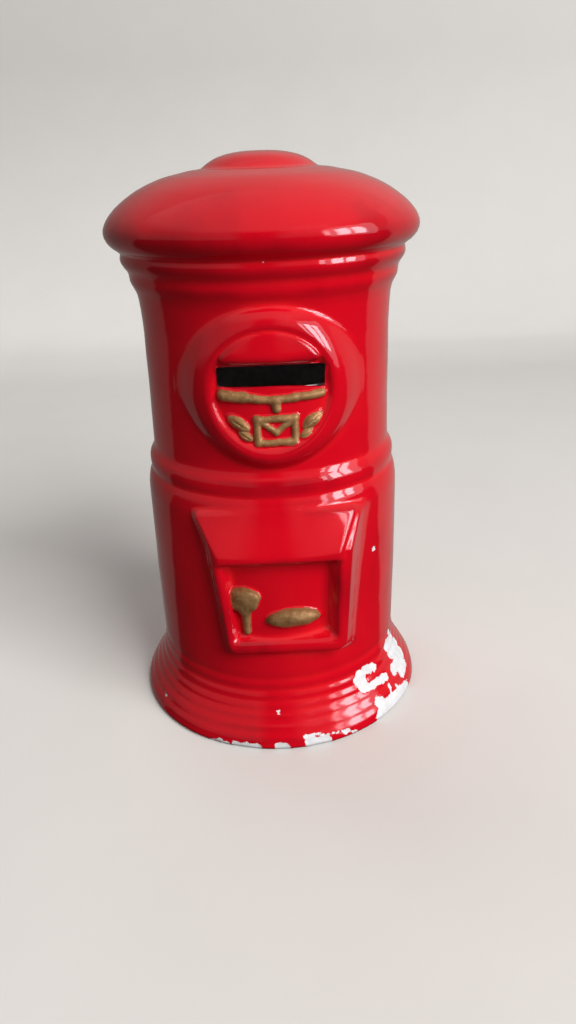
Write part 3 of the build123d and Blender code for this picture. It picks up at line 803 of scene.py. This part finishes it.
class Shader(Nodes):
    """One procedural material under construction."""

    def __init__(self, name):
        self.material = bpy.data.materials.new(name)
        self.material.use_nodes = True
        super().__init__(self.material.node_tree, "Object")
        self.surface = self.tree.nodes["Principled BSDF"]

    def set(self, **values):
        """Set the shader's own sockets, with _ for the spaces in their names."""
        for name, value in values.items():
            self.put(self.surface.inputs[name.replace("_", " ")], value)


# the paler and darker reds follow the surface's bulges: partly the glaze's own thinning and pooling, partly
# painted highlight and painted shade
RED, RED_THIN_AND_HIGHLIGHT, RED_POOLED_AND_SHADE = (0.54, 0.0015, 0.010), (0.68, 0.007, 0.013), (0.26, 0.0008, 0.006)
RED_EDGE = (0.74, 0.25, 0.26)
CLAY, CLAY_GREY = (0.70, 0.71, 0.74), (0.60, 0.59, 0.60)
GLAZE_IOR = 1.52


def glaze_colour(shader, thin):
    """Colour of the red glaze: paler where it runs thin over an edge, darker where it pools; partly painted
    highlight on the edges and painted shade in the hollows.
    """
    drift = shader.ramp(shader.noise(42, 2), 0.3, 0.7, -0.22, 0.22)
    streak = shader.ramp(shader.noise(9, 3, 0.55, (1, 1, 0.35)), 0.3, 0.75, -0.08, 0.08)
    amount = shader.math("ADD", shader.math("ADD", drift, streak), thin)
    pooled_and_shade = shader.blend(shader.ramp(amount, -0.75, 0.0), RED_POOLED_AND_SHADE, RED)
    return shader.blend(shader.ramp(amount, 0.0, 0.9), pooled_and_shade, RED_THIN_AND_HIGHLIGHT)


def glaze_normal(shader):
    """The slow waves and the fine orange peel of a thick glaze."""
    waves = shader.bump(shader.noise(12, 2, 0.5, (0.8, 0.8, 1.7)), 0.13)
    return shader.bump(shader.noise(2.2, 2), 0.006, waves)


def red_glaze_material():
    shader = Shader("red_glaze_look")
    chip, glaze, thin = (shader.attribute(n) for n in ("chip", "glaze", "thin"))
    ragged = shader.math("ADD", chip, shader.ramp(shader.noise(1.6, 3, 0.6), 0.2, 0.8, -0.55, 0.55))
    ragged = shader.math("ADD", ragged, shader.ramp(shader.noise(4.5, 2), 0.2, 0.8, -0.5, 0.5))
    # tiny pinholes where the glaze never closed
    cells = shader.add("ShaderNodeTexVoronoi", {"Vector": shader.place, "Scale": 95.0})
    chosen = shader.ramp(cells.outputs["Color"], 0.905, 0.91)
    pinhole = shader.math("MULTIPLY", shader.ramp(cells.outputs["Distance"], 0.034, 0.016), chosen)
    pinhole = shader.math("MULTIPLY", pinhole, 0.45)
    broken = shader.math("MAXIMUM", shader.ramp(ragged, -0.06, 0.06), pinhole)
    bare = shader.math("MAXIMUM", broken, shader.ramp(glaze, 0.75, 0.35))
    clay = shader.blend(shader.ramp(shader.noise(3.0, 4, 0.6), 0.35, 0.75), CLAY, CLAY_GREY)
    # a thin pink edge where the broken glaze feathers out
    edge = shader.ramp(ragged, -0.30, -0.02, 0.0, 0.30)
    # the glaze's own thinning and pooling, partly painted highlight and painted shade
    red = glaze_colour(shader, shader.ramp(thin, -0.3, 0.3, -0.3, 0.4))
    red = shader.blend(edge, red, RED_EDGE)
    normal = shader.bump(shader.ramp(bare, 0.0, 1.0, 1.0, 0.0), 0.18, glaze_normal(shader))
    normal = shader.bump(shader.math("MULTIPLY", shader.noise(0.7, 3), bare), 0.05, normal)
    rough = shader.ramp(shader.noise(22, 3), 0.3, 0.75, 0.045, 0.10)
    # the plinth's gloss is a little worn
    rough = shader.math("ADD", rough, shader.ramp(shader.level(), 0.020, 0.034, 0.028, 0.0))
    shader.set(Base_Color=shader.blend(bare, red, clay), Roughness=shader.mix_value(bare, rough, 0.82),
               Normal=normal, IOR=GLAZE_IOR)
    return shader.material


GOLD, GOLD_DARK, GOLD_LIGHT = (0.44, 0.235, 0.092), (0.29, 0.14, 0.050), (0.56, 0.36, 0.18)
GOLD_BROWN = (0.10, 0.05, 0.016)


def gilt_material():
    shader = Shader("gilt_look")
    height = shader.attribute("height")
    brushed = shader.noise(3.0, 3, 0.55)
    edge = shader.math("ADD", height, shader.ramp(brushed, 0.2, 0.8, -0.22, 0.22))
    flecks = shader.ramp(shader.noise(0.8, 3, 0.7), 0.68, 0.74)
    worn_area = shader.ramp(shader.noise(7, 2), 0.50, 0.66)
    gilded = shader.math("MULTIPLY", shader.ramp(edge, 0.36, 0.52),
                         shader.math("SUBTRACT", 1.0, shader.math("MULTIPLY", flecks, worn_area)))
    tone = shader.blend(shader.ramp(shader.noise(5, 3), 0.3, 0.7), GOLD_DARK, GOLD)
    tone = shader.blend(shader.ramp(shader.noise(1.1, 4, 0.7), 0.45, 0.8), tone, GOLD_LIGHT)
    # the door's gilding is browner than the roundel's
    tone = shader.blend(shader.ramp(shader.level(), 0.07, 0.12), shader.blend(0.30, tone, GOLD_BROWN), tone)
    red = glaze_colour(shader, 0.0)
    normal = shader.bump(shader.noise(0.9, 4, 0.7), 0.02, shader.bump(gilded, 0.04, glaze_normal(shader)))
    gold_rough = shader.ramp(shader.noise(1.6, 3), 0.25, 0.8, 0.46, 0.68)
    shader.set(Base_Color=shader.blend(gilded, red, tone), Metallic=shader.math("MULTIPLY", gilded, 0.5),
               Roughness=shader.mix_value(gilded, 0.10, gold_rough), Normal=normal, IOR=GLAZE_IOR)
    return shader.material


def stopper_material():
    shader = Shader("stopper_vinyl_look")
    mottle = shader.ramp(shader.noise(6, 4), 0.3, 0.7)
    grain = shader.bump(shader.noise(0.6, 3), 0.02)
    dust = shader.ramp(shader.noise(2.5, 5, 0.7), 0.55, 0.85, 0.0, 0.35)
    vinyl = shader.blend(mottle, (0.030, 0.029, 0.028), (0.048, 0.046, 0.043))
    shader.set(Base_Color=shader.blend(dust, vinyl, (0.16, 0.15, 0.14)),
               Roughness=shader.ramp(dust, 0.0, 0.35, 0.38, 0.62), Normal=grain)
    return shader.material


def floor_material():
    shader = Shader("floor_look")
    pale = shader.blend(shader.noise(60, 3), (0.66, 0.65, 0.63), (0.70, 0.69, 0.67))
    shader.set(Base_Color=pale, Roughness=0.6)
    return shader.material


casting.data.materials.append(red_glaze_material())
gilt = gilt_material()
for piece in (slot_bar, envelope, sprigs, key, handle):
    piece.data.materials.append(gilt)
for material_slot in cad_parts["stopper"].material_slots:
    material_slot.material = stopper_material()

# ================================ camera and light ======================================================
FOCAL_LENGTH = 790.0 / 1024       # in heights of the image
SENSOR = 36.0
CAMERA_PLACE = (0, -0.3131, 0.21475)
CAMERA_PAN, CAMERA_TILT, CAMERA_ROLL = radians(-1.09), radians(90 - 23.702), radians(-2.033)
camera_data = bpy.data.cameras.new("camera")
camera_data.sensor_width = SENSOR
camera_data.lens = FOCAL_LENGTH * SENSOR
camera = bpy.data.objects.new("camera", camera_data)
camera.location = CAMERA_PLACE
camera.rotation_euler = (Matrix.Rotation(CAMERA_PAN, 3, "Z") @ Matrix.Rotation(CAMERA_TILT, 3, "X")
                         @ Matrix.Rotation(CAMERA_ROLL, 3, "Z")).to_euler()
bpy.context.scene.collection.objects.link(camera)
bpy.context.scene.camera = camera


# --- plain studio: a pale floor that sweeps up behind, soft lights and an even grey world -----------
def make_sweep():
    """Floor and backdrop in one sheet, with a round bend between them."""
    front_edge, back_edge, bend, top, half_width = -1.4, 0.55, 0.35, 1.5, 1.6
    profile = [(front_edge, 0), (back_edge, 0)]
    profile += [(back_edge + bend * sin(a), bend * (1 - cos(a))) for a in np.linspace(0, pi / 2, 25)[1:]]
    profile.append((back_edge + bend, top))
    vertices = [(x, y, z) for y, z in profile for x in (-half_width, half_width)]
    faces = [(2 * i, 2 * i + 1, 2 * i + 3, 2 * i + 2) for i in range(len(profile) - 1)]
    sweep = make_mesh("sweep", np.array(vertices) / MM, faces)
    sweep.data.materials.append(floor_material())
    return sweep


def add_softbox(name, place, target, width, height, power, colour):
    """Rectangular soft light at place, turned to face target."""
    data = bpy.data.lights.new(name, "AREA")
    data.shape = "RECTANGLE"
    data.size, data.size_y = width, height
    data.energy = power
    data.color = colour
    light = bpy.data.objects.new(name, data)
    light.location = place
    light.rotation_euler = (Vector(target) - Vector(place)).to_track_quat("-Z", "Y").to_euler()
    bpy.context.scene.collection.objects.link(light)
    return light


def direction(azimuth, elevation):
    """Unit vector towards a place; azimuth is from the front (-Y) towards +X, in degrees."""
    a, e = radians(azimuth), radians(elevation)
    return Vector((sin(a) * cos(e), -cos(a) * cos(e), sin(e)))


AMBIENT, BACKDROP = 0.20, 0.62        # even light on matt surfaces, and what the camera sees past the sweep
AIR, WALL_TINT = (1.0, 0.96, 0.93), (1.0, 0.87, 0.81)


def wall_mask(nodes, y, z):
    """Where a mirror sees the wall behind the object: 1 on the wall, 0 off it."""
    low = nodes.math("MULTIPLY", nodes.math("MINIMUM", z, 0.0), 0.6)
    side = nodes.ramp(nodes.math("ADD", y, low), 0.07, 0.14)
    top = nodes.ramp(nodes.math("SUBTRACT", nodes.math("MULTIPLY", y, 1.55), z), -0.03, 0.02)
    foot = nodes.ramp(z, -0.75, -0.45)
    return nodes.math("MULTIPLY", nodes.math("MULTIPLY", side, top), foot)


def room_light(nodes, x, z):
    """What a mirror sees in front: someone's shade, the room beside it, the ceiling and the worktop."""
    off_centre = nodes.math("ABSOLUTE", nodes.math("ADD", x, 0.05))
    room = nodes.mix_value(nodes.ramp(off_centre, 0.12, 0.34), 0.03, 0.26)
    room = nodes.mix_value(nodes.ramp(z, 0.50, 0.75), room, 0.50)
    return nodes.mix_value(nodes.ramp(z, -0.12, 0.06), 0.035, room)


def make_world():
    """A plain room, seen in the gloss only, and an even pale grey elsewhere."""
    world = bpy.data.worlds.new("studio")
    world.use_nodes = True
    bpy.context.scene.world = world
    nodes = Nodes(world.node_tree, "Generated")
    background = nodes.tree.nodes["Background"].inputs
    x, y, z = nodes.add("ShaderNodeSeparateXYZ", {0: nodes.place}).outputs
    wall, room = wall_mask(nodes, y, z), room_light(nodes, x, z)
    wall_light = nodes.math("ADD", nodes.ramp(x, -0.6, 0.5, 0.22, 0.42), nodes.ramp(z, 0.1, 0.6, 0.0, 0.14))
    reflected = nodes.mix_value(wall, room, wall_light)
    ray = nodes.add("ShaderNodeLightPath").outputs
    plain = nodes.mix_value(ray["Is Camera Ray"], AMBIENT, BACKDROP)
    nodes.put(background["Strength"], nodes.mix_value(ray["Is Glossy Ray"], plain, reflected))
    on_wall = nodes.math("MULTIPLY", ray["Is Glossy Ray"], wall)
    nodes.put(background["Color"], nodes.blend(on_wall, AIR, WALL_TINT))


sweep = make_sweep()
sweep.visible_glossy = False
sweep.visible_diffuse = False
make_world()
MIDDLE = Vector((0, 0, HEIGHT * MM / 2))
# the window, in the gloss only: its azimuth, distance, width and height in metres, and radiance;
# three panes side by side, and the glow round them
WINDOW_ELEVATION, WINDOW_COLOUR = 15, (0.90, 0.92, 1.0)
PANES = (
    (45, 1.15, 0.09, 0.50, 6.0), (58.0, 1.15, 0.20, 0.56, 12.0), (70.5, 1.15, 0.17, 0.52, 11.0),
    (66, 1.15 * 1.05, 0.84, 0.9, 1.5),
)
for number, (azimuth, away, width, height, radiance) in enumerate(PANES):
    pane = add_softbox(f"pane_{number}", MIDDLE + away * direction(azimuth, WINDOW_ELEVATION), MIDDLE,
                       width, height, radiance * pi * width * height, WINDOW_COLOUR)
    pane.visible_diffuse = False
    pane.visible_camera = False
# light on matt surfaces, from the window and a little from behind: azimuth, elevation, distance, size, watts
SOFT_LIGHTS = (("key", 40, 34, 2.1, 1.35, 65), ("back", 205, 40, 1.4, 1.2, 9))
for name, azimuth, elevation, away, size, power in SOFT_LIGHTS:
    light = add_softbox(name, MIDDLE + away * direction(azimuth, elevation), MIDDLE, size, size, power,
                        (1.0, 0.98, 0.96))
    light.visible_glossy = False
    light.visible_camera = False
bpy.context.scene.view_settings.view_transform = "Standard"
